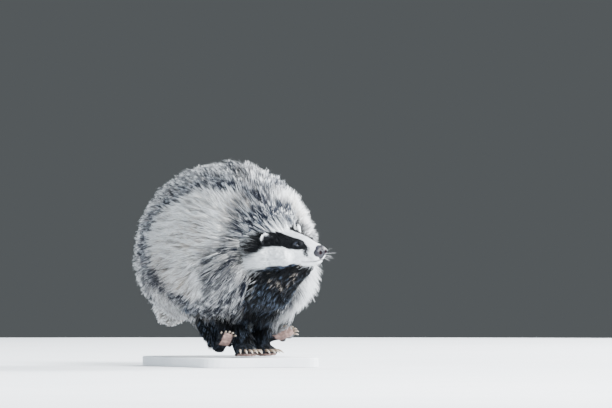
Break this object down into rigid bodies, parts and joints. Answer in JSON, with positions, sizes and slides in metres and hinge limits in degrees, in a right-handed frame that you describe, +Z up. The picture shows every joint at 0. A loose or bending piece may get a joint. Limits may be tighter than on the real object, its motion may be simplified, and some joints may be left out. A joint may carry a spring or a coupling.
{
  "type": "european badger, still life-size animal model",
  "caption": "Still life-size European badger with an arched back and gathered legs, head turned to its left, on a plain flat base.",
  "frame": {"origin": "middle of the model's box, at the underside of the base it stands on", "axes": "+X the way the body faces, +Y the animal's left, +Z up"},
  "size_m": [0.6308, 0.2978, 0.3982],
  "materials": {
    "coat_grey": "long coarse guard hair, cream at the root with a dark band and a white tip",
    "coat_black": "black hair of the throat, chest and legs",
    "coat_white": "short white face hair with black eye stripes",
    "coat_cream": "long pale hair of the tail",
    "nose_leather": "bare grained nose skin, slightly moist",
    "eye": "glossy near-black eye",
    "claw_horn": "pale horn claws",
    "base": "plain off-white matt plate"
  },
  "bodies": {
    "root": {"claw_forepaw_left_1": "claw_horn", "claw_forepaw_left_2": "claw_horn", "claw_forepaw_left_3": "claw_horn", "claw_forepaw_left_4": "claw_horn", "claw_forepaw_left_5": "claw_horn", "claw_forepaw_right_1": "claw_horn", "claw_forepaw_right_2": "claw_horn", "claw_forepaw_right_3": "claw_horn", "claw_forepaw_right_4": "claw_horn", "claw_forepaw_right_5": "claw_horn", "claw_hindpaw_left_1": "claw_horn", "claw_hindpaw_left_2": "claw_horn", "claw_hindpaw_left_3": "claw_horn", "claw_hindpaw_left_4": "claw_horn", "claw_hindpaw_left_5": "claw_horn", "claw_hindpaw_right_1": "claw_horn", "claw_hindpaw_right_2": "claw_horn", "claw_hindpaw_right_3": "claw_horn", "claw_hindpaw_right_4": "claw_horn", "claw_hindpaw_right_5": "claw_horn", "ear_left": "coat_white", "ear_right": "coat_white", "eye_left": "eye", "eye_right": "eye", "foreleg_left": "coat_black", "foreleg_right": "coat_black", "forepaw_left": "coat_black", "forepaw_right": "coat_black", "head": "coat_white", "hindleg_left": "coat_black", "hindleg_right": "coat_black", "hindpaw_left": "coat_black", "hindpaw_right": "coat_black", "neck": "coat_grey", "nose": "nose_leather", "stand_base": "base", "tail": "coat_cream", "trunk": "coat_grey"}
  },
  "joints": []
}
